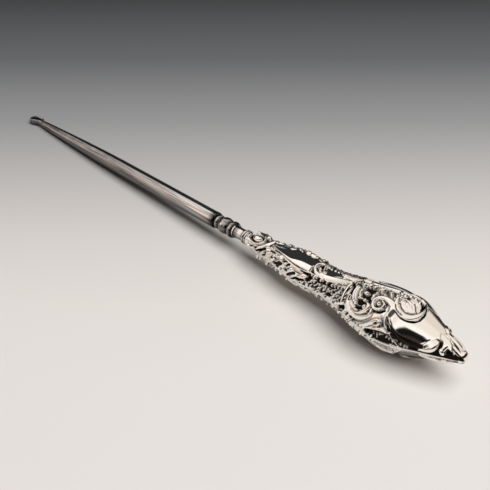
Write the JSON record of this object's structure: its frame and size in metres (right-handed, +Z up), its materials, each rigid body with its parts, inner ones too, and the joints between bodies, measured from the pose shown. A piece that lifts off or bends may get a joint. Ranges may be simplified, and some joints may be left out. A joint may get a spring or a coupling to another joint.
{
  "type": "button hook",
  "caption": "Button hook: a tapering steel shank with a turned moulding and a small flat crook, cemented into a hollow stamped silver handle with scrollwork and a pear-shaped bulb.",
  "frame": {"origin": "middle of the outline seen from above, on the surface the tool lies on", "axes": "+X along the tool from the crook to the tip of the handle, +Z up as the tool lies on its back shell and crook"},
  "size_m": [0.202, 0.0176, 0.0181],
  "materials": {
    "steel": "polished lengthwise, a little worn",
    "silver": "polished, darkened in the recesses",
    "solder": "filed smooth",
    "cement": "dull resin cement"
  },
  "bodies": {
    "root": {"shank": "steel", "crook": "steel", "ferrule": "silver", "front_shell": "silver", "back_shell": "silver", "seam_solder": "solder", "cement_core": "cement"}
  },
  "joints": []
}
